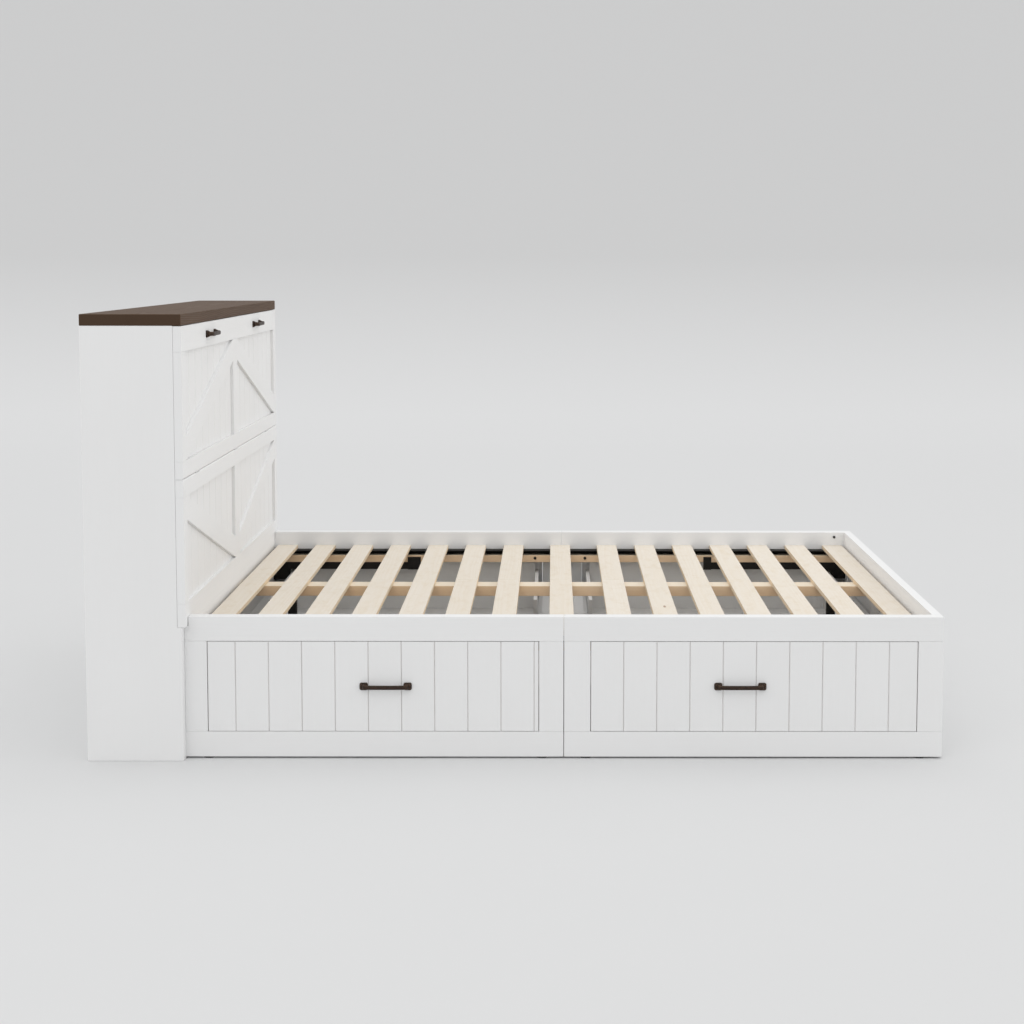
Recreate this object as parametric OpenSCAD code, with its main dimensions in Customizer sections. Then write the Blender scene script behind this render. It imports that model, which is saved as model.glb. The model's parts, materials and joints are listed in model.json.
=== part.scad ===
// Platform bed with four storage drawers and a cabinet headboard.
// X runs from the headboard (-X) to the foot (+X), the near long side faces -Y, +Z is up.
// The origin is the middle of the footprint, on the floor.

/* [Bed base] */
// Length of the base, from the cabinet face to the foot end
base_l = 2070; // [2000:5:2200]
// Width over the two side rails
base_w = 1606; // [1500:2:1650]
// Height of the top of the side rails
rail_top = 393; // [380:1:420]
// Height of one side rail board
rail_h = 67.5; // [60:0.5:75]
// Thickness of the side rails, stiles and plinth rails
rail_t = 38; // [32:1:45]
// Height of the plinth rail under the drawers
plinth_h = 70; // [60:1:80]
// Thickness of the foot rail
foot_t = 26; // [22:1:32]
// Thickness of the carcass panels between the drawers
panel_t = 18; // [15:1:22]

/* [Slats] */
// Number of slats each side of the middle slat
slats_each_side = 7; // [5:1:7]
// Width of one slat
slat_w = 70; // [60:1:80]
// Thickness of one slat
slat_t = 14; // [12:1:18]
// Height of the top of the slats
slat_top = 347; // [340:1:350]
// Distance from the middle slat to the next one
slat_first = 165.5; // [150:0.5:170]
// Spacing of the other slats
slat_pitch = 134.3; // [120:0.1:136]
// Width of the pine beam under the slats
beam_w = 76; // [60:1:100]
// Height of the pine beam
beam_h = 32; // [28:1:38]
// How far the beam sits beyond the middle of the bed
beam_off = 47.5; // [0:0.5:60]

/* [Drawers] */
// Clear width of the drawer openings at the head end
head_open_w = 906; // [880:1:908]
// Clear width of the drawer openings at the foot end
foot_open_w = 895; // [880:1:900]
// Half width of the double stile over the middle joint
seam_stile = 70.5; // [60:0.5:80]
// Thickness of the tongued boards in a drawer front
front_t = 20; // [16:1:22]
// Width of one tongued board
board_w = 90.6; // [85:0.1:92]
// Depth of a drawer box
box_d = 588; // [500:4:620]
// Height of the top edge of a drawer box's side walls
box_top = 255; // [200:1:256]
// Height of the top edge of a drawer box's rear wall
box_rear_top = 190; // [150:1:250]
// Length of a drawer slide
slide_l = 550; // [450:10:560]
// Gap around a drawer front
front_gap = 1.2; // [1:0.1:3]

/* [Headboard cabinet] */
// Overall height of the cabinet
cab_h = 1216; // [1150:1:1250]
// Depth from the back to the front of the top plank
cab_d = 272; // [250:1:300]
// How far the cabinet stands out past each side of the base
cab_over = 30; // [20:1:40]
// Thickness of the cabinet sides
cab_side_t = 25; // [18:1:28]
// Thickness of the top plank
plank_t = 31; // [25:1:35]
// Thickness of the framed front panels
door_t = 22; // [20:1:24]
// Height of the joint between the lower panel and the flap
split_z = 770.75; // [740:0.25:790]
// Height of the bottom edge of the lower panel
lower_z = 369; // [367:1:375]
// Width of the end stiles of the panels
end_stile = 49; // [40:1:70]
// Width of the middle stile of the panels
mid_stile = 72; // [60:1:90]
// Height of a brace, measured straight up
brace_h = 66; // [50:1:80]
// How far the frame and the braces stand in front of the boards
door_proud = 9; // [6:1:10]

/* [Fit] */
// Joint left between neighbouring boards and frame members
joint = 0.3; // [0.2:0.1:0.6]

/* [Pulls] */
// Length of a pull
pull_l = 143; // [120:1:150]
// How far a pull stands out
pull_proj = 23; // [20:1:29]
// Height of a pull's end caps
pull_h = 21; // [18:1:24]

/* [Hidden] */
$fn = 40;

paint = "#e2e1dd";
pine = "#dfc9a4";
walnut = "#5b4638";
steel_black = "#22201d";
bronze = "#43352b";
zinc = "#b9bcbe";

total_l = base_l + cab_d - 10;
x_back = -total_l / 2;             // back of the cabinet
x_foot = total_l / 2;              // outer face of the foot end
x_door = x_back + cab_d;           // front of the plank and of the framed panels
x_kick = x_foot - base_l;          // face of the cabinet under the lower panel
x_side = x_door - door_t - 0.5;    // front edge of the cabinet sides
x_mid = x_foot - base_l / 2 - 1;   // joint between the two base modules
x_head_in = x_door;                // inner face of the head panel and head rail
x_foot_in = x_foot - foot_t;       // inner face of the foot end
y_out = base_w / 2;
y_in = y_out - rail_t;
y_cab = y_out + cab_over;
z_plinth0 = 5;                     // floor gap under the base
z_plinth1 = z_plinth0 + plinth_h;
z_rail0 = rail_top - rail_h;
z_slat0 = slat_top - slat_t;
z_ledger1 = z_slat0 - 17;
z_ledger0 = z_ledger1 - 25;
z_plank0 = cab_h - plank_t;
spine_top = z_slat0 - beam_h;
head_x0 = x_mid - seam_stile + 3 - head_open_w;   // left edge of a head opening
foot_x0 = x_mid + seam_stile + 2;             // left edge of a foot opening
y_slide0 = -(y_in - 2);
box_side_gap = 14;                 // room for a slide each side of a drawer box
box_z0 = 88;
slide_z0 = 150;
slide_h = 45;
hinge_x = x_door - 2.5;            // flap hinge axis
hinge_ys = [-620, 0, 620];
hinge_l = 60;
hinge_r = 2.1;
pin_r = 1;
door_b = x_door - door_t;          // back face of the framed panels
round_r = 4.5;                     // rounding of the two panels' front edges at their joint

// Box between two corners
module bx(x0, x1, y0, y1, z0, z1) {
    translate([x0, y0, z0]) cube([x1 - x0, y1 - y0, z1 - z0]);
}

// The same solids on the near and the far side
module both_sides() {
    children();
    mirror([0, 1, 0]) children();
}

// ---------------------------------------------------------------- base frame

// One side rail board; the head end is cut away under the lower panel
module rail_board(x0, x1, notch) {
    difference() {
        bx(x0, x1, -y_out, -y_in, z_rail0, rail_top);
        if (notch) bx(x0 - 1, x_door + 1, -y_out - 1, -y_in + 1, lower_z - 1.5, rail_top + 1);
    }
}

module side_rails() {
    color(paint) both_sides() {
        rail_board(x_kick, x_mid - 0.4, true);
        rail_board(x_mid + 0.4, x_foot, false);
    }
}

module stile(x0, x1) {
    bx(x0, x1, -y_out, -y_in, z_plinth1, z_rail0);
}

module face_stiles() {
    color(paint) both_sides() {
        stile(x_kick, head_x0);
        stile(head_x0 + head_open_w, x_mid - 0.8);
        stile(x_mid + 0.8, foot_x0);
        stile(foot_x0 + foot_open_w, x_foot);
    }
}

module plinth_rails() {
    color(paint) both_sides() {
        bx(x_kick, x_mid - 0.8, -y_out, -y_in, z_plinth0, z_plinth1);
        bx(x_mid + 0.8, x_foot, -y_out, -y_in, z_plinth0, z_plinth1);
    }
}

module foot_rail() {
    color(paint) bx(x_foot_in, x_foot, -y_in, y_in, z_rail0, rail_top);
}

module foot_frame() {
    color(paint) {
        bx(x_foot_in, x_foot, -y_in, y_in, z_plinth0, z_plinth1);
        both_sides() bx(x_foot_in, x_foot, -y_in, -y_in + 70, z_plinth1 + joint, z_rail0);
    }
}

// Plan of one tongued board: width along X, face at y = 0, with a V chamfer on both front edges
module board_plan(w, t, v = 2.2) {
    j = joint / 2;
    polygon([[v, 0], [w - v, 0], [w - j, v - j], [w - j, t], [j, t], [j, v - j]]);
}

module foot_boards() {
    n = 15;
    w = (2 * y_in - 140) / n;
    color(paint)
        for (i = [0 : n - 1])
            translate([x_foot - 6, -y_in + 70 + i * w, z_plinth1])
                rotate([0, 0, 90]) linear_extrude(z_rail0 - z_plinth1) board_plan(w, 16);
}

// Painted rail between the lower panel of the headboard and the first slat
module head_rail() {
    color(paint) bx(x_kick, x_head_in, -y_in, y_in, z_rail0, lower_z);
}

module head_panel() {
    color(paint) bx(x_kick, x_head_in, -y_in, y_in, z_plinth0, z_rail0);
}

bolt_ys = [-600, -120, 220, 600];
bolt_z = 235;

module middle_panels() {
    color(paint)
        for (s = [0, 1])
            difference() {
                translate([x_mid - panel_t + s * (panel_t + 0.2), 0, 0]) rotate([90, 0, 90])
                    linear_extrude(panel_t - 0.2)
                        polygon([[-y_in, z_plinth0], [y_in, z_plinth0], [y_in, z_ledger0 - 1],
                                 [y_in - 42, z_ledger0 - 1], [y_in - 42, spine_top],
                                 [-y_in + 42, spine_top], [-y_in + 42, z_ledger0 - 1],
                                 [-y_in, z_ledger0 - 1]]);
                for (y = bolt_ys)
                    translate([x_mid - 30, y, bolt_z]) rotate([0, 90, 0]) cylinder(r = 4.2, h = 60);
            }
}

// Bolt head on a face at y, standing out towards -Y, with a hexagon socket
module bolt_head(x, y, z, r) {
    translate([x, y, z]) rotate([90, 0, 0]) difference() {
        cylinder(r = r, h = 3);
        translate([0, 0, 1]) cylinder(r = r * 0.5, h = 3, $fn = 6);
    }
}

// Bolts with a flat head and a nut, drawing the two modules together, and the bolts of the
// ledgers and of the rail ends
module module_bolts() {
    color(steel_black) {
        both_sides() {
            for (x = [x_mid - 94, x_mid + 83]) bolt_head(x, y_in - 40, z_ledger0 + 15, 5);
            bolt_head(x_foot_in - 36, y_in, rail_top - 17, 4.5);
        }
        for (y = bolt_ys)
            translate([x_mid - panel_t, y, bolt_z]) rotate([0, 90, 0]) {
                translate([0, 0, -6]) cylinder(r = 8, h = 6);
                cylinder(r = 4, h = 2 * panel_t);
                translate([0, 0, 2 * panel_t]) difference() {
                    cylinder(r = 7.5, h = 7, $fn = 6);
                    translate([0, 0, 5]) cylinder(r = 4.5, h = 3);
                }
            }
    }
}

// Steel legs under the two ends of the beam, each with a plate on the floor and one under the beam
module beam_legs() {
    color(steel_black)
        for (x = [x_mid - 860, x_mid + 855]) {
            bx(x - 13, x + 13, beam_off - 13, beam_off + 13, 4, spine_top - 3);
            bx(x - 25, x + 25, beam_off - 25, beam_off + 25, 0, 4);
            bx(x - 32, x + 32, beam_off - 20, beam_off + 20, spine_top - 3, spine_top);
        }
}

// ---------------------------------------------------------------- mattress support

slat_xc = x_mid - 5;
slat_xs = concat(
    [for (i = [slats_each_side : -1 : 1]) slat_xc - slat_first - (i - 1) * slat_pitch],
    [slat_xc],
    [for (i = [1 : slats_each_side]) slat_xc + slat_first + (i - 1) * slat_pitch]);

module slats() {
    color(pine)
        for (x = slat_xs) {
            bx(x - slat_w / 2, x + slat_w / 2, -y_in + 0.5, beam_off - 0.4, z_slat0, slat_top);
            bx(x - slat_w / 2, x + slat_w / 2, beam_off + 0.4, y_in - 0.5, z_slat0, slat_top);
        }
}

// Screws from below, through the steel angles into the ends of the slats
module slat_screws() {
    color(zinc)
        for (x = slat_xs, s = [-1, 1])
            translate([x, s * (y_in - 22), z_slat0 - 3]) {
                translate([0, 0, -2]) cylinder(r = 4, h = 2);
                cylinder(r = 1.9, h = 11);
            }
}

module centre_beam() {
    color(pine) bx(x_head_in, x_foot_in, beam_off - beam_w / 2, beam_off + beam_w / 2, spine_top, z_slat0);
}

module ledgers() {
    color(pine) both_sides() bx(x_head_in, x_foot_in, -y_in, -y_in + 40, z_ledger0, z_ledger1);
}

// Steel angle under the slat ends
module slat_angles() {
    color(steel_black) both_sides()
        translate([x_head_in, -y_in, z_ledger1]) rotate([90, 0, 90])
            linear_extrude(x_foot_in - x_head_in)
                polygon([[0, 0], [3, 0], [3, 14], [40, 14], [40, 17], [0, 17]]);
}

bar_y = -y_in + 35;
bar_ends = [[x_head_in + 60, x_mid - 523], [x_mid + 518, x_foot_in - 85]];

module stiffener_bars() {
    color(steel_black) both_sides()
        for (b = bar_ends) bx(b[0], b[1], bar_y, bar_y + 5, z_ledger0 - 25, z_ledger0);
}

// Corner plates at the ends of the base and hook plates at the inner ends of the bars
module bar_brackets() {
    color(steel_black) both_sides() {
        bx(x_head_in, x_head_in + 60, bar_y, bar_y + 5, z_ledger0 - 62, z_ledger0);
        translate([x_foot_in, bar_y + 5, z_ledger0]) rotate([90, 0, 0]) linear_extrude(5)
            polygon([[-85, 0], [-85, -32], [-53, -32], [-53, -58], [0, -58], [0, 0]]);
        bx(bar_ends[0][1] - 23, bar_ends[0][1] + 23, bar_y + 5, bar_y + 9, z_ledger0 - 26, z_ledger1 - 6);
        bx(bar_ends[1][0] - 14, bar_ends[1][0] + 14, bar_y + 5, bar_y + 9, z_ledger0 - 26, z_ledger1 - 6);
    }
}

// ---------------------------------------------------------------- drawer running gear in the base

module battens_for(xa, xb, xc, xd) {
    bx(xa, xb, -y_in, -y_in + 600, slide_z0 - 10, slide_z0 + slide_h + 10);
    bx(xc, xd, -y_in, -y_in + 600, slide_z0 - 10, slide_z0 + slide_h + 10);
}

module slide_battens() {
    color(paint) both_sides() {
        battens_for(x_head_in, head_x0, head_x0 + head_open_w, x_mid - panel_t);
        battens_for(x_mid + panel_t, foot_x0, foot_x0 + foot_open_w, x_foot_in);
    }
}

// Outer channel of a slide: web on the batten, open towards the drawer; s is 1 or -1
module slide_outer(x, s) {
    translate([x, y_slide0 + slide_l, slide_z0]) rotate([90, 0, 0]) linear_extrude(slide_l)
        mirror([s < 0 ? 1 : 0, 0, 0])
            polygon([[0, 0], [11.9, 0], [11.9, 1.5], [1.5, 1.5], [1.5, slide_h - 1.5],
                     [11.9, slide_h - 1.5], [11.9, slide_h], [0, slide_h]]);
}

// Inner channel of a slide, on the side of the drawer box
module slide_inner(x, s) {
    translate([x, y_slide0 + slide_l, slide_z0]) rotate([90, 0, 0]) linear_extrude(slide_l)
        mirror([s < 0 ? 1 : 0, 0, 0])
            polygon([[box_side_gap, 4], [4, 4], [4, 5.5], [box_side_gap - 1.5, 5.5],
                     [box_side_gap - 1.5, slide_h - 5.5], [4, slide_h - 5.5], [4, slide_h - 4],
                     [box_side_gap, slide_h - 4]]);
}

module slide_channels() {
    color(paint) both_sides() {
        slide_outer(head_x0, 1);
        slide_outer(head_x0 + head_open_w, -1);
        slide_outer(foot_x0, 1);
        slide_outer(foot_x0 + foot_open_w, -1);
    }
}

module floor_glides() {
    color("#3a3a3a") {
        both_sides() for (x = [x_kick + 60, x_mid - 60, x_mid + 60, x_foot - 60])
            translate([x, -y_out + rail_t / 2, 0]) cylinder(r = 15, h = z_plinth0);
    }
}

// ---------------------------------------------------------------- drawers

// A drawer is drawn for the near side, with its opening from x0 to x0 + w
module drawer_front(x0, w, first) {
    xa = x0 + front_gap;
    xb = x0 + w - front_gap;
    n = 9;
    edges = concat([xa, x0 + first], [for (i = [1 : n]) min(x0 + first + i * board_w, xb)],
                   x0 + first + n * board_w < xb - 1 ? [xb] : []);
    for (i = [0 : len(edges) - 2])
        translate([edges[i], -y_out, z_plinth1 + front_gap])
            linear_extrude(z_rail0 - z_plinth1 - 2 * front_gap)
                board_plan(edges[i + 1] - edges[i], front_t);
}

module drawer_box(x0, w) {
    xa = x0 + box_side_gap;
    xb = x0 + w - box_side_gap;
    ya = -y_out + front_t;
    yb = ya + box_d;
    bx(xa, xa + 12, ya, yb, box_z0, box_top);
    bx(xb - 12, xb, ya, yb, box_z0, box_top);
    bx(xa + 12 + joint, xb - 12 - joint, ya, ya + 12, box_z0, z_rail0 - 7.5);
    bx(xa + 12 + joint, xb - 12 - joint, yb - 12, yb, box_z0, box_rear_top);
}

module drawer_bottom(x0, w) {
    bx(x0 + box_side_gap + 12, x0 + w - box_side_gap - 12,
       -y_out + front_t + 12, -y_out + front_t + box_d - 12, box_z0 + 22, box_z0 + 28);
}

module drawer_slides(x0, w) {
    slide_inner(x0, 1);
    slide_inner(x0 + w, -1);
}

// Bow pull, drawn standing out towards -Y from y = 0, centred on the origin
module pull() {
    for (s = [-1, 1]) {
        translate([s * (pull_l / 2 - 11.5), 0, 0]) rotate([90, 0, 0]) linear_extrude(5)
            square([23, pull_h], center = true);
        translate([s * (pull_l / 2 - 11.5), 0, 0]) rotate([90, 0, 0])
            linear_extrude(pull_proj - 3) square([14, 13], center = true);
    }
    translate([0, -pull_proj + 7, 0]) rotate([90, 0, 0]) linear_extrude(7)
        square([pull_l - 12, 12], center = true);
}

function head_pull_x() = head_x0 + 79.5 + 4.5 * board_w;
function foot_pull_x() = foot_x0 + 4.5 * 91;
pull_z = 201;

module drawer_near_head_front() { color(paint) drawer_front(head_x0, head_open_w, 77); }
module drawer_near_head_box() { color(paint) drawer_box(head_x0, head_open_w); }
module drawer_near_head_bottom() { color(paint) drawer_bottom(head_x0, head_open_w); }
module drawer_near_head_pull() { color(bronze) translate([head_pull_x(), -y_out, pull_z]) pull(); }
module drawer_near_head_slides() { color(paint) drawer_slides(head_x0, head_open_w); }

module drawer_near_foot_front() { color(paint) drawer_front(foot_x0, foot_open_w, 91); }
module drawer_near_foot_box() { color(paint) drawer_box(foot_x0, foot_open_w); }
module drawer_near_foot_bottom() { color(paint) drawer_bottom(foot_x0, foot_open_w); }
module drawer_near_foot_pull() { color(bronze) translate([foot_pull_x(), -y_out, pull_z]) pull(); }
module drawer_near_foot_slides() { color(paint) drawer_slides(foot_x0, foot_open_w); }

module drawer_far_head_front() { mirror([0, 1, 0]) drawer_near_head_front(); }
module drawer_far_head_box() { mirror([0, 1, 0]) drawer_near_head_box(); }
module drawer_far_head_bottom() { mirror([0, 1, 0]) drawer_near_head_bottom(); }
module drawer_far_head_pull() { mirror([0, 1, 0]) drawer_near_head_pull(); }
module drawer_far_head_slides() { mirror([0, 1, 0]) drawer_near_head_slides(); }

module drawer_far_foot_front() { mirror([0, 1, 0]) drawer_near_foot_front(); }
module drawer_far_foot_box() { mirror([0, 1, 0]) drawer_near_foot_box(); }
module drawer_far_foot_bottom() { mirror([0, 1, 0]) drawer_near_foot_bottom(); }
module drawer_far_foot_pull() { mirror([0, 1, 0]) drawer_near_foot_pull(); }
module drawer_far_foot_slides() { mirror([0, 1, 0]) drawer_near_foot_slides(); }

// ---------------------------------------------------------------- headboard cabinet

// Side panel: its foot steps forward under the framed panels
module cabinet_sides() {
    color(paint) both_sides()
        translate([0, -y_cab + cab_side_t, 0]) rotate([90, 0, 0]) linear_extrude(cab_side_t)
            polygon([[x_back, 0], [x_kick, 0], [x_kick, lower_z - 0.5], [x_side, lower_z - 0.5],
                     [x_side, z_plank0], [x_back, z_plank0]]);
}

y_cin = y_cab - cab_side_t;

module cabinet_back() {
    color(paint) bx(x_back, x_back + 12, -y_cin, y_cin, 0, z_plank0);
}

module cabinet_top_plank() {
    color(walnut) bx(x_back, x_door, -y_cab, y_cab, z_plank0, cab_h);
}

module cabinet_middle_shelf() {
    color(paint) bx(x_back + 12, x_side, -y_cin, y_cin, split_z - 20, split_z - 2);
}

module cabinet_base_shelf() {
    color(paint) bx(x_back + 12, x_side, -y_cin, y_cin, 60, 78);
}

module cabinet_dividers() {
    color(paint) {
        bx(x_back + 12, x_side - 1, -9, 9, split_z - 2, z_plank0);
        bx(x_back + 12, x_side - 1, -9, 9, 78, split_z - 20);
    }
}

module cabinet_kick_board() {
    color(paint) bx(x_side, x_kick, -y_cin, y_cin, 0, lower_z - 1);
}

// ---------------------------------------------------------------- framed panels

// Rail section, back at x = door_b, with its front edges rounded to the radii given
module rail_section(z0, z1, top_r, bottom_r) {
    module corner(z, s, r) {
        difference() {
            translate([x_door - r, s > 0 ? z - r : z]) square([r + 1, r]);
            translate([x_door - r, z - s * r]) circle(r = r);
        }
    }
    difference() {
        translate([door_b, z0]) square([door_t, z1 - z0]);
        if (top_r > 0) corner(z1, 1, top_r);
        if (bottom_r > 0) corner(z0, -1, bottom_r);
    }
}

module panel_rail(z0, z1, top_r, bottom_r) {
    translate([0, y_cab - 1, 0]) rotate([90, 0, 0]) linear_extrude(2 * (y_cab - 1))
        rail_section(z0, z1, top_r, bottom_r);
}

module panel_stiles(z0, z1) {
    ye = y_cab - 1;
    both_sides() bx(door_b, x_door, -ye, -ye + end_stile, z0 + joint, z1 - joint);
    bx(door_b, x_door, -mid_stile / 2, mid_stile / 2, z0 + joint, z1 - joint);
}

// Tongued boards in the two fields of a panel
module panel_boards(z0, z1) {
    n = 8;
    w = (field_a - field_b) / n;
    for (s = [0, 1], i = [0 : n - 1])
        translate([x_door - door_proud, (s == 0 ? -field_a : field_b) + i * w, z0])
            rotate([0, 0, 90]) linear_extrude(z1 - z0) board_plan(w, 11);
}

// One brace from corner to corner of a field, upright at both ends
module brace(ya, yb, z0, z1, up) {
    pa = up ? z0 : z1 - brace_h;
    pb = up ? z1 - brace_h : z0;
    translate([x_door - door_proud, 0, 0]) rotate([90, 0, 90]) linear_extrude(door_proud)
        polygon([[ya, pa], [yb, pb], [yb, pb + brace_h], [ya, pa + brace_h]]);
}

flap_z0 = split_z + 0.4;
flap_z1 = z_plank0 - 1.5;
flap_f0 = 819;
flap_f1 = 1114.5;
low_z1 = split_z - 0.4;
low_f0 = 432.5;
low_f1 = 722;
field_a = y_cab - 1 - end_stile;
field_b = mid_stile / 2;

// Pockets for the hinge knuckles and leaves, cut into both rails at the joint
module hinge_pockets() {
    for (y = hinge_ys) {
        bx(hinge_x - 2.6, x_door + 5, y - hinge_l / 2 - 0.6, y + hinge_l / 2 + 0.6, split_z - 2.6, split_z + 2.6);
        bx(door_b + 2, hinge_x - 2.5, y - hinge_l / 2, y + hinge_l / 2, low_z1 - 1.5, flap_z0 + 1.5);
    }
}

module lower_panel_frame() {
    color(paint) {
        panel_rail(lower_z, low_f0, 0, 0);
        difference() {
            panel_rail(low_f1, low_z1, round_r, 0);
            hinge_pockets();
        }
        panel_stiles(low_f0, low_f1);
    }
}

module lower_panel_boards() { color(paint) panel_boards(low_f0, low_f1); }

module lower_panel_braces() {
    color(paint) {
        brace(-field_a, -field_b, low_f0, low_f1, false);
        brace(field_b, field_a, low_f0, low_f1, true);
    }
}

module flap_frame() {
    color(paint) {
        panel_rail(flap_f1, flap_z1, 0, 0);
        difference() {
            panel_rail(flap_z0, flap_f0, 0, round_r);
            hinge_pockets();
        }
        panel_stiles(flap_f0, flap_f1);
    }
}

module flap_boards() { color(paint) panel_boards(flap_f0, flap_f1); }

module flap_braces() {
    color(paint) {
        brace(-field_a, -field_b, flap_f0, flap_f1, true);
        brace(field_b, field_a, flap_f0, flap_f1, false);
    }
}

flap_pull_y = 408;

module flap_pulls() {
    color(bronze)
        for (s = [-1, 1])
            translate([x_door, s * flap_pull_y, (flap_f1 + flap_z1) / 2]) rotate([0, 0, 90]) pull();
}

// One knuckle segment from y0 to y1 on the hinge axis
module knuckle(y0, y1, bore_r, z_tab0, z_tab1) {
    difference() {
        union() {
            translate([hinge_x, y1, split_z]) rotate([90, 0, 0]) cylinder(r = hinge_r, h = y1 - y0);
            bx(hinge_x - 5, hinge_x, y0, y1, z_tab0, z_tab1);
        }
        translate([hinge_x, y1 + 1, split_z]) rotate([90, 0, 0]) cylinder(r = bore_r, h = y1 - y0 + 2);
    }
}

module hinge_leaves_fixed() {
    color(paint)
        for (y = hinge_ys) {
            bx(door_b + 2, hinge_x - 4, y - hinge_l / 2, y + hinge_l / 2, low_z1 - 1.5, low_z1);
            for (s = [-1, 1])
                knuckle(y + s * 20 - 10, y + s * 20 + 10, pin_r + 0.05, low_z1 - 1.5, low_z1);
        }
}

module flap_hinge_leaves() {
    color(paint)
        for (y = hinge_ys) {
            bx(door_b + 2, hinge_x - 4, y - hinge_l / 2, y + hinge_l / 2, flap_z0, flap_z0 + 1.5);
            knuckle(y - 9.6, y + 9.6, pin_r, flap_z0, flap_z0 + 1.5);
        }
}

module hinge_pins() {
    color(zinc)
        for (y = hinge_ys)
            translate([hinge_x, y + hinge_l / 2, split_z]) rotate([90, 0, 0]) cylinder(r = pin_r, h = hinge_l);
}

catch_ys = [-390, 390];

module magnetic_catches() {
    color("#dcdcd8")
        for (y = catch_ys) bx(x_side - 28, x_side - 1, y - 24, y + 24, z_plank0 - 14, z_plank0);
}

module flap_strike_plates() {
    color(zinc)
        for (y = catch_ys) bx(door_b - 1, door_b, y - 20, y + 20, flap_z1 - 14, flap_z1 - 2);
}

// ---------------------------------------------------------------- assembly

side_rails();
face_stiles();
plinth_rails();
foot_rail();
foot_frame();
foot_boards();
head_rail();
head_panel();
middle_panels();
beam_legs();
slats();
slat_screws();
centre_beam();
ledgers();
slat_angles();
stiffener_bars();
bar_brackets();
slide_battens();
slide_channels();
module_bolts();
floor_glides();
cabinet_sides();
cabinet_back();
cabinet_top_plank();
cabinet_middle_shelf();
cabinet_base_shelf();
cabinet_dividers();
cabinet_kick_board();
lower_panel_frame();
lower_panel_boards();
lower_panel_braces();
hinge_leaves_fixed();
magnetic_catches();
flap_frame();
flap_boards();
flap_braces();
flap_pulls();
flap_hinge_leaves();
hinge_pins();
flap_strike_plates();
drawer_near_head_front();
drawer_near_head_box();
drawer_near_head_bottom();
drawer_near_head_pull();
drawer_near_head_slides();
drawer_near_foot_front();
drawer_near_foot_box();
drawer_near_foot_bottom();
drawer_near_foot_pull();
drawer_near_foot_slides();
drawer_far_head_front();
drawer_far_head_box();
drawer_far_head_bottom();
drawer_far_head_pull();
drawer_far_head_slides();
drawer_far_foot_front();
drawer_far_foot_box();
drawer_far_foot_bottom();
drawer_far_foot_pull();
drawer_far_foot_slides();
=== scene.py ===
import json
import math
import random

import bmesh
import bpy
from mathutils import Matrix, Vector


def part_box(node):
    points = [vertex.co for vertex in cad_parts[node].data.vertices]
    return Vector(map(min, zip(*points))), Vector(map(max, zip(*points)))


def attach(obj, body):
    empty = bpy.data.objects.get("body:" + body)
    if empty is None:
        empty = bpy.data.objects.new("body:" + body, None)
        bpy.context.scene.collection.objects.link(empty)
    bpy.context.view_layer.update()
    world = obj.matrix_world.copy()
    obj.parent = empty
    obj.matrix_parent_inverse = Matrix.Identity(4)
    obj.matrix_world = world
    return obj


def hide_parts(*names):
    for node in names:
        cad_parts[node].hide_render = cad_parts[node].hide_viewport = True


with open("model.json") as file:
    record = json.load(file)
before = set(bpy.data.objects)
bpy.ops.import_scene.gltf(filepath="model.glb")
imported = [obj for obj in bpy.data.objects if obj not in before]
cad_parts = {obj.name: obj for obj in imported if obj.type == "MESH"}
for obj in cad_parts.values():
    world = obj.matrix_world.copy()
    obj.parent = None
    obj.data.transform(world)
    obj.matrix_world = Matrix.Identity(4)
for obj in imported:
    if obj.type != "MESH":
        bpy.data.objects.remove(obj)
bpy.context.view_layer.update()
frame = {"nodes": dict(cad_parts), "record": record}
NODES = frame["nodes"]
BODY = {n: b for b, ns in frame["record"]["behaviour"]["bodies"].items() for n in ns}
SLOT = {s["node"]: s["material_slot"] for s in frame["record"]["subparts"]}


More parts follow.
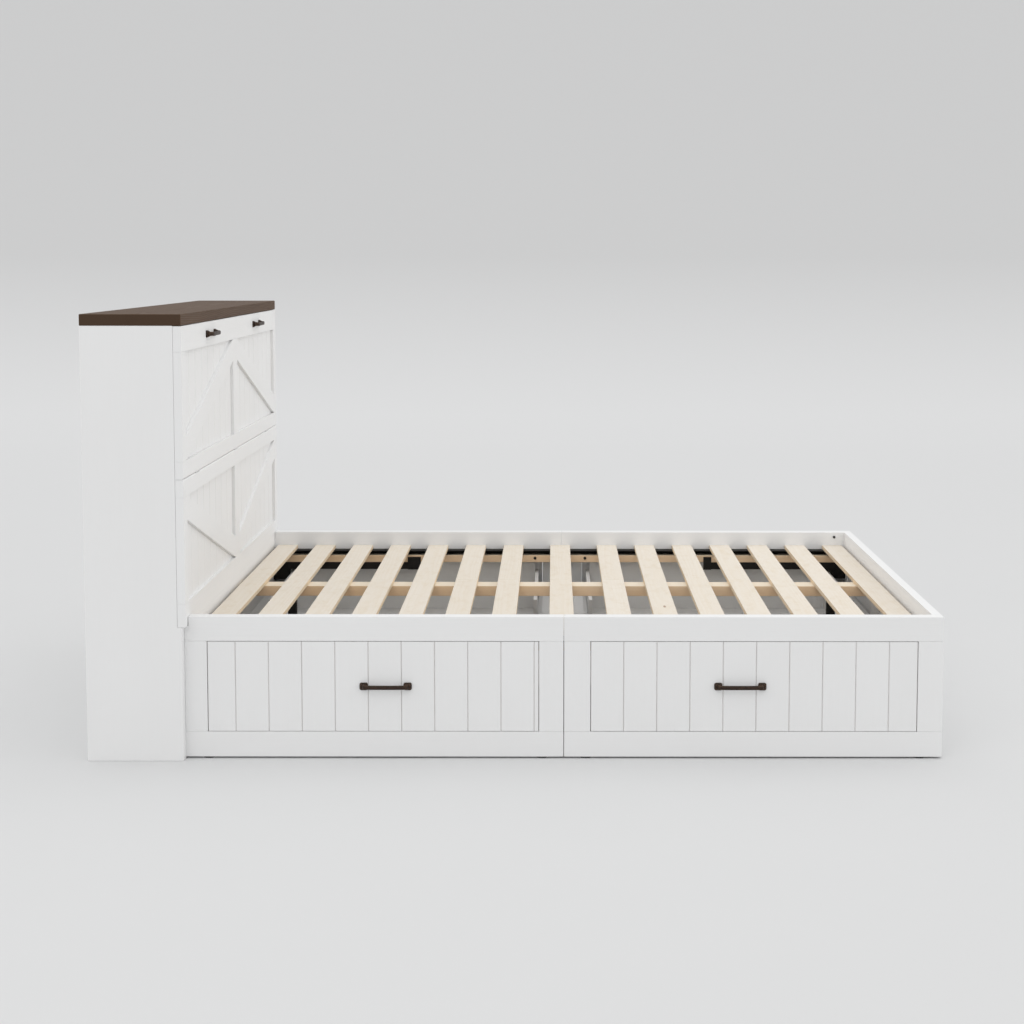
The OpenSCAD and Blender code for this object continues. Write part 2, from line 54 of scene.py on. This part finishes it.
# ------------------------------------------------------------------ shading helpers
class Shader:
    """A material with one Principled shader and short calls for the nodes that feed it."""

    def __init__(self, name):
        self.mat = bpy.data.materials.new(name)
        self.mat.use_nodes = True
        self.tree = self.mat.node_tree
        self.tree.nodes.clear()
        out = self.node("ShaderNodeOutputMaterial")
        self.bsdf = self.node("ShaderNodeBsdfPrincipled")
        self.tree.links.new(self.bsdf.outputs["BSDF"], out.inputs["Surface"])

    def node(self, kind, **props):
        n = self.tree.nodes.new(kind)
        for k, v in props.items():
            setattr(n, k, v)
        return n

    def put(self, socket, value):
        if isinstance(value, bpy.types.NodeSocket):
            self.tree.links.new(value, socket)
        elif hasattr(value, "__len__") and len(value) == 3 and socket.type == "RGBA":
            socket.default_value = (*value, 1.0)
        else:
            socket.default_value = value

    def surface(self, **values):
        for k, v in values.items():
            self.put(self.bsdf.inputs[k.replace("_", " ")], v)

    def attr(self, name, output="Vector"):
        return self.node("ShaderNodeAttribute", attribute_name=name).outputs[output]

    def coords(self):
        return self.node("ShaderNodeTexCoord").outputs["Object"]

    def math(self, op, a, b=0.0, clamp=False):
        n = self.node("ShaderNodeMath", operation=op, use_clamp=clamp)
        self.put(n.inputs[0], a)
        self.put(n.inputs[1], b)
        return n.outputs[0]

    def vmath(self, op, a, b=(0, 0, 0)):
        n = self.node("ShaderNodeVectorMath", operation=op)
        self.put(n.inputs[0], a)
        self.put(n.inputs[1], b)
        return n.outputs[0]

    def split(self, v):
        n = self.node("ShaderNodeSeparateXYZ")
        self.put(n.inputs[0], v)
        return n.outputs

    def join(self, x=0.0, y=0.0, z=0.0):
        n = self.node("ShaderNodeCombineXYZ")
        for i, v in enumerate((x, y, z)):
            self.put(n.inputs[i], v)
        return n.outputs[0]

    def noise(self, vec, scale=1.0, detail=3.0, rough=0.55, distortion=0.0, output="Fac"):
        n = self.node("ShaderNodeTexNoise")
        for k, v in (("Vector", vec), ("Scale", scale), ("Detail", detail), ("Roughness", rough),
                     ("Distortion", distortion)):
            self.put(n.inputs[k], v)
        return n.outputs[output]

    def voronoi(self, vec, scale=1.0, randomness=1.0, output="Distance", dims="3D"):
        n = self.node("ShaderNodeTexVoronoi", voronoi_dimensions=dims)
        for k, v in (("Vector", vec), ("Scale", scale), ("Randomness", randomness)):
            self.put(n.inputs[k], v)
        return n.outputs[output]

    def span(self, v, a, b, c=0.0, d=1.0, smooth=False):
        n = self.node("ShaderNodeMapRange", interpolation_type="SMOOTHSTEP" if smooth else "LINEAR")
        for i, x in enumerate((v, a, b, c, d)):
            self.put(n.inputs[i], x)
        return n.outputs[0]

    def mix(self, fac, a, b, blend="MIX"):
        n = self.node("ShaderNodeMix", data_type="RGBA", blend_type=blend)
        self.put(n.inputs["Factor"], fac)
        self.put(n.inputs[6], a)
        self.put(n.inputs[7], b)
        return n.outputs[2]

    def ramp(self, fac, stops, mode="LINEAR"):
        n = self.node("ShaderNodeValToRGB")
        n.color_ramp.interpolation = mode
        els = n.color_ramp.elements
        while len(els) > 1:
            els.remove(els[-1])
        els[0].position = stops[0][0]
        els[0].color = (*stops[0][1], 1.0)
        for p, c in stops[1:]:
            e = els.new(p)
            e.color = (*c, 1.0)
        self.put(n.inputs[0], fac)
        return n.outputs[0]

    def bump(self, height, strength=0.2, distance=0.001, normal=None):
        n = self.node("ShaderNodeBump")
        self.put(n.inputs["Height"], height)
        n.inputs["Strength"].default_value = strength
        n.inputs["Distance"].default_value = distance
        if normal is not None:
            self.put(n.inputs["Normal"], normal)
        return n.outputs[0]


def grain_space(s):
    """Along, across and through the piece of wood in metres, and three random numbers for the piece."""
    return s.attr("gc"), s.attr("rnd")


def make_paint(name, light, dark, groove_shade_colour, gloss):
    s = Shader(name)
    gc, rnd = grain_space(s)
    pos = s.vmath("ADD", gc, s.vmath("MULTIPLY", rnd, (7, 7, 7)))
    broad = s.noise(s.vmath("MULTIPLY", pos, (2.2, 6, 6)), detail=2)
    streak = s.noise(s.vmath("MULTIPLY", pos, (7, 260, 260)), detail=3, rough=0.6)
    pores = s.noise(s.vmath("MULTIPLY", pos, (55, 900, 900)), detail=2)
    orange = s.noise(pos, scale=420, detail=1)
    fac = s.math("ADD", s.math("MULTIPLY", broad, 0.6), s.math("MULTIPLY", streak, 0.4))
    col = s.mix(s.span(fac, 0.35, 0.65), light, dark)
    tone = s.span(s.split(rnd)[0], 0, 1, 0.0, 0.35)
    col = s.mix(tone, col, dark)
    # Painted shade: the board chamfer and bevel faces are darkened towards the third paint colour, standing in for
    # the shade inside the V-grooves.
    groove_shade = s.math("MULTIPLY", s.attr("groove_shade", "Fac"), s.span(broad, 0.3, 0.7, 0.25, 0.55), clamp=True)
    col = s.mix(groove_shade, col, groove_shade_colour)
    rub = s.math("MULTIPLY", s.attr("edge", "Fac"),
                 s.span(s.noise(pos, scale=38, detail=4, rough=0.65), 0.6, 0.7, 0, 0.35), clamp=True)
    col = s.mix(rub, col, (0.62, 0.57, 0.49))
    height = s.math("ADD", s.math("MULTIPLY", streak, 0.7),
                    s.math("ADD", s.math("MULTIPLY", pores, 0.25), s.math("MULTIPLY", orange, 0.25)))
    s.surface(Base_Color=col, Roughness=s.span(s.math("ADD", streak, orange), 0.7, 1.3, gloss, gloss + 0.1),
              Normal=s.bump(height, 0.12, 0.0004))
    s.bsdf.inputs["Specular IOR Level"].default_value = 0.34
    return s.mat


def make_wood(name, early, late, dark, ring, fibre_amount, rough0, rough1, knots, bump, tone=0.25, bands=0.0,
              warm=None, ring_amount=1.0, sides=None, specular=0.5, mottle=None):
    """Sawn wood: growth rings round a pith beyond the board, fibres, pores, knots and end grain, with painted shade
    on side and end faces when asked for.
    """
    s = Shader(name)
    gc, rnd = grain_space(s)
    r = s.split(rnd)
    shift = s.vmath("ADD", gc, s.vmath("MULTIPLY", rnd, (11, 3, 3)))
    slow = s.noise(s.vmath("MULTIPLY", shift, (1.1, 4.5, 4.5)), detail=2, output="Color")
    slow = s.vmath("MULTIPLY", s.vmath("SUBTRACT", slow, (0.5, 0.5, 0.5)), (0.0, 0.05, 0.03))
    # knots push the rings aside
    kn = None
    bent = s.vmath("ADD", gc, slow)
    if knots > 0:
        cell = s.vmath("MULTIPLY", shift, (2.3, 9.0, 1.0))
        kd = s.voronoi(cell, randomness=0.9, dims="2D")
        seed = s.split(s.voronoi(cell, randomness=0.9, dims="2D", output="Color"))[0]
        has = s.math("GREATER_THAN", seed, 1.0 - knots)
        near = s.math("MULTIPLY", has, s.span(kd, 0.04, 0.32, 1.0, 0.0, smooth=True))
        kn = s.math("MULTIPLY", has, s.span(kd, 0.02, 0.05, 1.0, 0.0, smooth=True))
        bent = s.vmath("ADD", bent, s.join(0.0, s.math("MULTIPLY", near, 0.012), s.math("MULTIPLY", near, 0.006)))
    b = s.split(bent)
    across = s.math("ADD", b[1], s.math("MULTIPLY", s.math("SUBTRACT", r[1], 0.5), 0.09))
    depth = s.math("ADD", b[2], s.math("ADD", 0.02, s.math("MULTIPLY", r[2], 0.09)))
    taper = s.math("MULTIPLY", b[0], 0.004)
    radius = s.math("ADD", s.math("SQRT", s.math("ADD", s.math("MULTIPLY", across, across),
                                                 s.math("MULTIPLY", depth, depth))), taper)
    phase = s.math("FRACT", s.math("DIVIDE", radius, ring))
    rings = s.math("MULTIPLY", s.span(phase, 0.15, 0.86, 0, 1, smooth=True), s.span(phase, 0.88, 1.0, 1, 0))
    fibre = s.noise(s.vmath("MULTIPLY", shift, (9, 520, 520)), detail=4, rough=0.62)
    pores = s.noise(s.vmath("MULTIPLY", shift, (40, 1500, 1500)), detail=2)
    cloud = s.noise(s.vmath("MULTIPLY", shift, (1.7, 9, 9)), detail=3)
    ringy = s.math("MULTIPLY", rings, s.span(cloud, 0.3, 0.7, 0.45 * ring_amount, ring_amount))
    col = s.mix(ringy, early, late)
    col = s.mix(s.math("MULTIPLY", s.span(fibre, 0.45, 0.75), fibre_amount, clamp=True), col, dark)
    col = s.mix(s.math("MULTIPLY", s.span(cloud, 0.35, 0.75), 0.3 + bands, clamp=True), col, warm or late)
    col = s.mix(s.math("MULTIPLY", r[0], tone), col, late)
    if mottle is not None:
        patch = s.noise(s.vmath("MULTIPLY", shift, (16, 34, 34)), detail=4, rough=0.65, distortion=0.4)
        col = s.mix(s.span(patch, 0.5, 0.72, 0, 0.42), col, mottle)
    if kn is not None:
        col = s.mix(s.math("MULTIPLY", kn, 0.85), col, (dark[0] * 0.55, dark[1] * 0.45, dark[2] * 0.4))
    end = s.attr("endf", "Fac")
    col = s.mix(s.math("MULTIPLY", end, 0.45), col, dark)
    # Painted shade: side and end faces are given a warmer, darker colour, standing in for how those faces fall into
    # shade.
    if sides is not None:
        edge = s.math("MAXIMUM", s.attr("sidef", "Fac"), end)
        col = s.mix(s.math("MULTIPLY", edge, s.span(cloud, 0.3, 0.7, 0.65, 0.95), clamp=True), col, sides)
    height = s.math("ADD", s.math("MULTIPLY", fibre, 0.6),
                    s.math("ADD", s.math("MULTIPLY", pores, 0.4), s.math("MULTIPLY", rings, 0.25)))
    s.surface(Base_Color=col, Roughness=s.span(s.math("ADD", fibre, rings), 0.4, 1.5, rough0, rough1),
              Normal=s.bump(height, bump, 0.0005))
    s.bsdf.inputs["Specular IOR Level"].default_value = specular
    return s.mat


def make_metal(name, base, alt, metallic, rough0, rough1, scale, bump, wear_and_rim_highlight=None, specular=0.5):
    s = Shader(name)
    pos = s.coords()
    cloud = s.noise(pos, scale=scale * 0.12, detail=4, rough=0.6)
    fine = s.noise(pos, scale=scale, detail=3)
    col = s.mix(s.span(cloud, 0.35, 0.65), base, alt)
    if wear_and_rim_highlight is not None:
        # Wear and painted highlight: bevel and rim faces take the worn colour, which stands for worn bronze and also
        # for the light caught on the rims.
        edge = s.math("MULTIPLY", s.attr("edge", "Fac"), s.span(fine, 0.42, 0.62, 0.1, 0.8), clamp=True)
        col = s.mix(edge, col, wear_and_rim_highlight)
        col = s.mix(s.math("MULTIPLY", s.span(s.noise(pos, scale=scale * 0.4, detail=5), 0.58, 0.7), 0.35), col, wear_and_rim_highlight)
    s.surface(Base_Color=col, Roughness=s.span(s.math("ADD", cloud, fine), 0.7, 1.3, rough0, rough1),
              Normal=s.bump(fine, bump, 0.0003))
    s.bsdf.inputs["Metallic"].default_value = metallic
    s.bsdf.inputs["Specular IOR Level"].default_value = specular
    return s.mat


def make_plastic(name, base, alt, rough):
    s = Shader(name)
    pos = s.coords()
    fine = s.noise(pos, scale=1400, detail=2)
    cloud = s.noise(pos, scale=25, detail=3)
    s.surface(Base_Color=s.mix(s.span(cloud, 0.35, 0.65), base, alt),
              Roughness=s.span(fine, 0.3, 0.7, rough, rough + 0.1), Normal=s.bump(fine, 0.12, 0.0002))
    return s.mat


# The third colour of each paint is painted shade for the groove and bevel faces.
PAINT = make_paint("satin_white_paint", (0.825, 0.825, 0.824), (0.808, 0.807, 0.805), (0.72, 0.70, 0.68), 0.40)
PAINT_IN = make_paint("white_paint_inside", (0.76, 0.757, 0.75), (0.735, 0.731, 0.722), (0.62, 0.59, 0.56), 0.46)
# Both pines carry painted shade in their side colour: side and end faces turn warmer and darker; the beam and
# ledgers, which sit in shade under the slats, get a stronger one.
PINE = make_wood("planed_pine", (0.775, 0.715, 0.630), (0.725, 0.645, 0.530), (0.60, 0.47, 0.33), 0.0062, 0.14,
                 0.56, 0.70, 0.03, 0.12, tone=0.3, ring_amount=0.3, sides=(0.78, 0.61, 0.41), specular=0.22,
                 mottle=(0.66, 0.56, 0.42))
SHADED_SAWN_PINE = make_wood("sawn_pine_painted_shade", (0.80, 0.72, 0.60), (0.74, 0.63, 0.47), (0.58, 0.40, 0.24), 0.0062, 0.2,
                      0.6, 0.72, 0.03, 0.15, tone=0.2, ring_amount=0.4, sides=(0.90, 0.63, 0.39), specular=0.2)
WALNUT = make_wood("dark_walnut", (0.100, 0.060, 0.035), (0.074, 0.043, 0.025), (0.031, 0.018, 0.011), 0.0031, 0.55,
                   0.54, 0.66, 0.0, 0.22, tone=0.1, bands=0.1, warm=(0.116, 0.071, 0.043), ring_amount=0.5,
                   specular=0.14)
BLACK = make_metal("black_powder_coat", (0.014, 0.0130, 0.0115), (0.019, 0.0175, 0.0155), 0.0, 0.55, 0.68, 1800, 0.3,
                   specular=0.2)
# The bronze's worn colour is partly wear and partly a painted rim highlight.
BRONZE = make_metal("dark_bronze", (0.046, 0.026, 0.016), (0.025, 0.015, 0.010), 0.6, 0.40, 0.56, 900, 0.25,
                    wear_and_rim_highlight=(0.20, 0.11, 0.06))
ZINC = make_metal("bright_zinc", (0.58, 0.59, 0.60), (0.50, 0.51, 0.53), 1.0, 0.26, 0.42, 700, 0.12)
NYLON = make_plastic("black_nylon", (0.035, 0.035, 0.035), (0.05, 0.05, 0.05), 0.5)
PLASTIC = make_plastic("white_plastic", (0.72, 0.72, 0.70), (0.68, 0.68, 0.66), 0.4)
ENAMEL = make_metal("white_enamel", (0.76, 0.757, 0.75), (0.735, 0.731, 0.722), 0.0, 0.34, 0.44, 600, 0.08)
BY_SLOT = {"painted_wood": PAINT, "pine": PINE, "walnut": WALNUT, "white_enamel": ENAMEL, "black_steel": BLACK,
           "dark_bronze": BRONZE, "zinc_steel": ZINC, "black_nylon": NYLON, "white_plastic": PLASTIC}


# ------------------------------------------------------------------ mesh helpers
def islands(bm):
    seen = set()
    for v in bm.verts:
        if v in seen:
            continue
        group, todo = [], [v]
        seen.add(v)
        while todo:
            a = todo.pop()
            group.append(a)
            for e in a.link_edges:
                b = e.other_vert(a)
                if b not in seen:
                    seen.add(b)
                    todo.append(b)
        yield group


def add_grain(bm, seed, groove_shade=False, along=None):
    """Writes the wood coordinates that the materials read."""
    rng = random.Random(seed)
    gc = bm.verts.layers.float_vector.new("gc")
    rnd = bm.verts.layers.float_vector.new("rnd")
    groove_shade_layer = bm.faces.layers.float.new("groove_shade")
    endf = bm.faces.layers.float.new("endf")
    side = bm.faces.layers.float.new("sidef")
    axes_of = {}
    for group in islands(bm):
        lo = [min(v.co[i] for v in group) for i in range(3)]
        hi = [max(v.co[i] for v in group) for i in range(3)]
        size = [hi[i] - lo[i] for i in range(3)]
        order = sorted(range(3), key=lambda i: -size[i])
        if along is not None and order[0] != along:
            order = [along] + [i for i in order if i != along]
        a, b, c = order
        flip = rng.random() < 0.5
        r = Vector((rng.random(), rng.random(), rng.random()))
        for v in group:
            x = v.co[a] - lo[a]
            v[gc] = Vector((size[a] - x if flip else x, v.co[b] - (lo[b] + hi[b]) / 2, v.co[c] - (lo[c] + hi[c]) / 2))
            v[rnd] = r
            axes_of[v] = order
    for f in bm.faces:
        order = axes_of[f.verts[0]]
        n = f.normal
        f[endf] = 1.0 if abs(n[order[0]]) > 0.8 else 0.0
        f[side] = 1.0 if abs(n[order[1]]) > 0.8 else 0.0
        # Faces that are not square to an axis (groove chamfers and bevels) are marked for the painted groove shade.
        if groove_shade and max(abs(x) for x in n) < 0.95:
            f[groove_shade_layer] = 1.0


def as_piece(bm, name, material, nodes, body, slot, smooth=True):
    me = bpy.data.meshes.new(name)
    bm.normal_update()
    for f in bm.faces:
        f.smooth = smooth
    bm.to_mesh(me)
    bm.free()
    ob = bpy.data.objects.new(name, me)
    bpy.context.scene.collection.objects.link(ob)
    me.materials.append(material)
    if smooth:
        w = ob.modifiers.new("normals", "WEIGHTED_NORMAL")
        w.weight = 80
    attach(ob, body)
    if nodes:
        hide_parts(*nodes)
    return ob


def sharp_edges(bm, degrees):
    lim = math.radians(degrees)
    return [e for e in bm.edges if len(e.link_faces) == 2 and e.calc_face_angle(0) > lim]


def soften(node, bevel=0.0012, segs=2, material=None, groove_shade=False, along=None, big=None, seed=0):
    """The CAD node's own solids with their edges eased, and with wood coordinates on them."""
    bm = bmesh.new()
    bm.from_mesh(NODES[node].data)
    bmesh.ops.remove_doubles(bm, verts=bm.verts, dist=2e-6)
    bmesh.ops.dissolve_limit(bm, angle_limit=math.radians(0.4), verts=bm.verts, edges=bm.edges)
    edge = bm.faces.layers.float.new("edge")
    if big is not None:
        pick, radius, rsegs = big
        chosen = [e for e in sharp_edges(bm, 60) if pick(e.verts[0].co, e.verts[1].co)]
        if chosen:
            bmesh.ops.bevel(bm, geom=chosen, offset=radius, offset_type="OFFSET", segments=rsegs, profile=0.5,
                            affect="EDGES", clamp_overlap=True)
    if bevel > 0:
        got = bmesh.ops.bevel(bm, geom=sharp_edges(bm, 28), offset=bevel, offset_type="OFFSET", segments=segs,
                              profile=0.5, affect="EDGES", clamp_overlap=True)
        for f in got["faces"]:
            f[edge] = 1.0
    bm.normal_update()
    add_grain(bm, f"{node}{seed}", groove_shade=groove_shade, along=along)
    return as_piece(bm, f"{node}_shape", material or BY_SLOT[SLOT[node]], [node], BODY[node], SLOT[node])


# ------------------------------------------------------------------ base
for n in ("side_rails", "face_stiles", "foot_rail", "foot_frame", "head_rail"):
    soften(n, 0.0013, 2)
soften("plinth_rails", 0.0007, 2)
soften("foot_boards", 0.0006, 2, groove_shade=True)
soften("slats", 0.0016, 3)
soften("centre_beam", 0.0012, 2, material=SHADED_SAWN_PINE)
soften("ledgers", 0.0012, 2, material=SHADED_SAWN_PINE)
for n in ("slat_angles", "stiffener_bars", "bar_brackets", "beam_legs"):
    soften(n, 0.0005, 2)
for n in ("head_panel", "slide_battens"):
    soften(n, 0.0004, 1, material=PAINT_IN)
soften("middle_panels", 0.0, material=PAINT_IN)

# ------------------------------------------------------------------ drawers
for d in ("drawer_near_head", "drawer_near_foot", "drawer_far_head", "drawer_far_foot"):
    soften(d + "_front", 0.0006, 2, groove_shade=True)
    soften(d + "_box", 0.0010, 2, material=PAINT_IN)
    soften(d + "_bottom", 0.0, material=PAINT_IN)

# ------------------------------------------------------------------ headboard
door_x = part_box("lower_panel_frame")[1].x
end_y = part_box("lower_panel_frame")[1].y


def panel_end(a, b):
    """The upright front edge at either end of a framed panel."""
    return all(abs(p.x - door_x) < 2e-4 and abs(abs(p.y) - end_y) < 2e-4 for p in (a, b))


soften("cabinet_sides", 0.0015, 2, along=2)
soften("cabinet_back", 0.0, along=2)
soften("cabinet_top_plank", 0.0022, 3)
for n in ("cabinet_middle_shelf", "cabinet_base_shelf", "cabinet_dividers", "cabinet_kick_board"):
    soften(n, 0.0008, 1)
for n in ("lower_panel_frame", "flap_frame"):
    soften(n, 0.0008, 2, big=(panel_end, 0.0085, 5))
for n in ("lower_panel_boards", "flap_boards"):
    soften(n, 0.0006, 2, groove_shade=True)
for n in ("lower_panel_braces", "flap_braces"):
    soften(n, 0.0006, 2)


# ------------------------------------------------------------------ pulls
def smooth_path(points, steps):
    pts = [Vector((p[0], p[1], 0)) for p in points]
    pts = [2 * pts[0] - pts[1]] + pts + [2 * pts[-1] - pts[-2]]
    out = []
    for i in range(1, len(pts) - 2):
        p0, p1, p2, p3 = pts[i - 1:i + 3]
        for k in range(steps):
            t = k / steps
            out.append(0.5 * ((2 * p1) + (p2 - p0) * t + (2 * p0 - 5 * p1 + 4 * p2 - p3) * t * t
                              + (3 * p1 - p0 - 3 * p2 + p3) * t ** 3))
    out.append(pts[-2])
    return out


def rounded_block(bm, centre, size, corner, rim, corner_segs=4, rim_segs=3, dome=0.0):
    """A block standing out along +Y from its back face, with rounded corners and a rolled front rim."""
    part = bmesh.new()
    bmesh.ops.create_cube(part, size=1.0)
    for v in part.verts:
        v.co = Vector((v.co.x * size[0], v.co.y * size[1], v.co.z * size[2]))
    ups = [e for e in part.edges if abs(e.verts[0].co.y - e.verts[1].co.y) > 1e-6]
    bmesh.ops.bevel(part, geom=ups, offset=corner, offset_type="OFFSET", segments=corner_segs, profile=0.5,
                    affect="EDGES", clamp_overlap=True)
    front = [e for e in part.edges if all(v.co.y > size[1] / 2 - 1e-6 for v in e.verts)]
    bmesh.ops.bevel(part, geom=front, offset=rim, offset_type="OFFSET", segments=rim_segs, profile=0.5,
                    affect="EDGES", clamp_overlap=True)
    if dome:
        tops = [f for f in part.faces if f.normal.y > 0.99 and len(f.verts) > 4]
        for f in tops:
            got = bmesh.ops.inset_individual(part, faces=[f], thickness=size[0] * 0.22, depth=0)
            for v in f.verts:
                v.co.y += dome
    for v in part.verts:
        v.co += Vector(centre)
    me = bpy.data.meshes.new("tmp")
    part.to_mesh(me)
    part.free()
    bm.from_mesh(me)
    bpy.data.meshes.remove(me)


def bow(bm, points, half_h, half_t, steps=6, around=16):
    """A bar of rounded section swept along a path in the plane of X and Y."""
    path = smooth_path(points, steps)
    n = len(path)
    rings = []
    for i, p in enumerate(path):
        a, b = path[max(0, i - 1)], path[min(n - 1, i + 1)]
        t = (b - a).normalized()
        side = Vector((-t.y, t.x, 0))
        u = abs(i / (n - 1) * 2 - 1)
        flare = 1 + 0.22 * max(0, (u - 0.55) / 0.45) ** 2
        ring = []
        for k in range(around):
            ang = 2 * math.pi * k / around
            c, s = math.cos(ang), math.sin(ang)
            x = math.copysign(abs(c) ** 0.72, c) * half_t * (1 + 0.1 * (flare - 1))
            z = math.copysign(abs(s) ** 0.72, s) * half_h * flare
            ring.append(bm.verts.new(p + side * x + Vector((0, 0, z))))
        rings.append(ring)
    for a, b in zip(rings, rings[1:]):
        for k in range(around):
            j = (k + 1) % around
            bm.faces.new((a[k], a[j], b[j], b[k]))
    bm.faces.new(list(reversed(rings[0])))
    bm.faces.new(rings[-1])


def make_pull(name, at, turn, mirrored, nodes, body):
    """Bow pull of 143 mm: a rounded cap at each end and an arched grip between them."""
    bm = bmesh.new()
    for s in (-1, 1):
        rounded_block(bm, (s * 0.0600, 0.0025, 0), (0.0225, 0.005, 0.0205), 0.0050, 0.0018, dome=0.0006)
        rounded_block(bm, (s * 0.0600, 0.0070, 0), (0.0175, 0.0065, 0.0160), 0.0055, 0.0030, dome=0.0)
    bow(bm, [(-0.0600, 0.0050), (-0.0600, 0.0095), (-0.0584, 0.0142), (-0.0530, 0.0172), (-0.0430, 0.0185),
             (-0.0220, 0.0191), (0, 0.0193), (0.0220, 0.0191), (0.0430, 0.0185), (0.0530, 0.0172),
             (0.0584, 0.0142), (0.0600, 0.0095), (0.0600, 0.0050)], 0.0059, 0.0033)
    bmesh.ops.recalc_face_normals(bm, faces=bm.faces)
    m = Matrix.Translation(Vector(at)) @ Matrix.Rotation(turn, 4, "Z")
    bmesh.ops.transform(bm, matrix=m, verts=bm.verts)
    # Small faces, mostly on the rims, get a partial edge mark that carries the bronze's worn colour and painted rim
    # highlight.
    edge = bm.faces.layers.float.new("edge")
    for f in bm.faces:
        if f.calc_area() < 3e-6 and len(f.verts) == 4:
            f[edge] = 0.35
    add_grain(bm, name)
    return as_piece(bm, name, BRONZE, nodes, body, "dark_bronze")


for d in ("drawer_near_head", "drawer_near_foot", "drawer_far_head", "drawer_far_foot"):
    lo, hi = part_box(d + "_pull")
    near = "near" in d
    at = ((lo.x + hi.x) / 2, hi.y if near else lo.y, (lo.z + hi.z) / 2)
    make_pull(d + "_pull_shape", at, math.pi if near else 0.0, False, [d + "_pull"], d)
lo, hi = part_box("flap_pulls")
half = (hi.y - lo.y) / 2 - 0.0715
for k, y in (("near", -half), ("far", half)):
    make_pull(f"flap_pull_{k}_shape", (lo.x, y, (lo.z + hi.z) / 2), -math.pi / 2, False,
              ["flap_pulls"], "flap")

# ------------------------------------------------------------------ ironmongery that keeps its CAD shape
kept = {n: BY_SLOT[SLOT[n]] for n, o in NODES.items() if not o.hide_render}
for n, m in kept.items():
    me = NODES[n].data
    me.materials.clear()
    me.materials.append(m)

# ------------------------------------------------------------------ stage
def backdrop():
    """Floor that sweeps up into a plain wall well behind the bed."""
    prof = [(-70.0, 0.0), (-14.0, 0.0), (-5.0, 0.0), (0.0, 0.0), (4.0, 0.0), (8.0, 0.0)]
    radius, top = 8.0, 36
    for k in range(1, 25):
        a = math.radians(top * k / 24)
        prof.append((8.0 + radius * math.sin(a), radius * (1 - math.cos(a))))
    a = math.radians(top)
    y, z = prof[-1]
    prof.append((y + 30 * math.cos(a), z + 30 * math.sin(a)))
    bm = bmesh.new()
    cols = []
    for x in (-70.0, -12.0, 0.0, 12.0, 70.0):
        cols.append([bm.verts.new((x, y, z)) for y, z in prof])
    for a, b in zip(cols, cols[1:]):
        for k in range(len(prof) - 1):
            bm.faces.new((a[k], b[k], b[k + 1], a[k + 1]))
    me = bpy.data.meshes.new("backdrop")
    for f in bm.faces:
        f.smooth = True
    bm.to_mesh(me)
    bm.free()
    ob = bpy.data.objects.new("backdrop", me)
    bpy.context.scene.collection.objects.link(ob)
    s = Shader("pale_backdrop")
    pos = s.coords()
    z = s.split(pos)[2]
    soft = s.noise(pos, scale=3, detail=2)
    floor = s.mix(soft, (0.719, 0.721, 0.722), (0.713, 0.715, 0.716))
    # Painted light: the floor is painted lighter towards the wall, and the wall painted darker as it rises, standing
    # in for how the light falls on them.
    floor = s.mix(s.span(s.split(pos)[1], 1.5, 8.0, 0, 1), floor, (0.78, 0.782, 0.784))
    col = s.mix(s.span(z, 0.1, 1.4, 0, 1), floor, (0.66, 0.66, 0.66))
    s.surface(Base_Color=col, Normal=s.bump(s.noise(pos, scale=220, detail=2), 0.05, 0.0005))
    s.bsdf.inputs["Roughness"].default_value = 0.85
    s.bsdf.inputs["Specular IOR Level"].default_value = 0.15
    me.materials.append(s.mat)


backdrop()

world = bpy.data.worlds.new("soft_studio")
bpy.context.scene.world = world
world.use_nodes = True
bg = world.node_tree.nodes.get("Background")
bg.inputs["Color"].default_value = (0.995, 0.998, 1.0, 1.0)
bg.inputs["Strength"].default_value = 0.93


def area(name, at, look, size, power):
    data = bpy.data.lights.new(name, "AREA")
    data.shape = "RECTANGLE"
    data.size, data.size_y = size
    data.energy = power
    ob = bpy.data.objects.new(name, data)
    bpy.context.scene.collection.objects.link(ob)
    ob.location = at
    ob.rotation_mode = "QUATERNION"
    ob.rotation_quaternion = (Vector(look) - Vector(at)).to_track_quat("-Z", "Y")
    return ob


area("key", (-3.5, -7.0, 6.5), (0, 0, 0.4), (5.0, 4.0), 50)
area("top", (0.8, 0.3, 6.0), (0, 0, 0), (6.0, 5.0), 40)
# soft fills from the two ends of the bed, which leave the floor alone
unlit = bpy.data.collections.new("unlit_by_fill")
unlit.objects.link(bpy.data.objects["backdrop"])
unlit.collection_objects[0].light_linking.link_state = "EXCLUDE"
for fill in (area("foot_fill", (7.5, -0.8, 3.2), (-0.9, 0, 0.7), (5.0, 4.0), 120),
             area("head_fill", (-6.5, -0.5, 4.6), (1.1, 0, 0.4), (5.0, 4.0), 80)):
    fill.light_linking.receiver_collection = unlit

# ------------------------------------------------------------------ camera
data = bpy.data.cameras.new("camera")
data.sensor_width = 36.0
data.sensor_fit = "HORIZONTAL"
data.lens = 1838.6 / 1024 * 36.0
data.shift_x = -0.04437
data.shift_y = -0.08996
data.clip_start, data.clip_end = 0.05, 200.0
cam = bpy.data.objects.new("camera", data)
bpy.context.scene.collection.objects.link(cam)
pitch, roll, yaw = 0.08650, 0.00112, 0.00210
fw = Vector((math.sin(yaw), math.cos(yaw), 0))
rt = Vector((math.cos(yaw), -math.sin(yaw), 0))
up = Vector((0, 0, 1))
fw2 = fw * math.cos(pitch) - up * math.sin(pitch)
up2 = up * math.cos(pitch) + fw * math.sin(pitch)
rt3 = rt * math.cos(roll) + up2 * math.sin(roll)
up3 = up2 * math.cos(roll) - rt * math.sin(roll)
m = Matrix((rt3, up3, -fw2)).transposed().to_4x4()
m.translation = Vector((0.1014, -5.7435, 1.3599))
cam.matrix_world = m
bpy.context.scene.camera = cam
bpy.context.scene.view_settings.view_transform = "Standard"
bpy.context.scene.view_settings.look = "None"
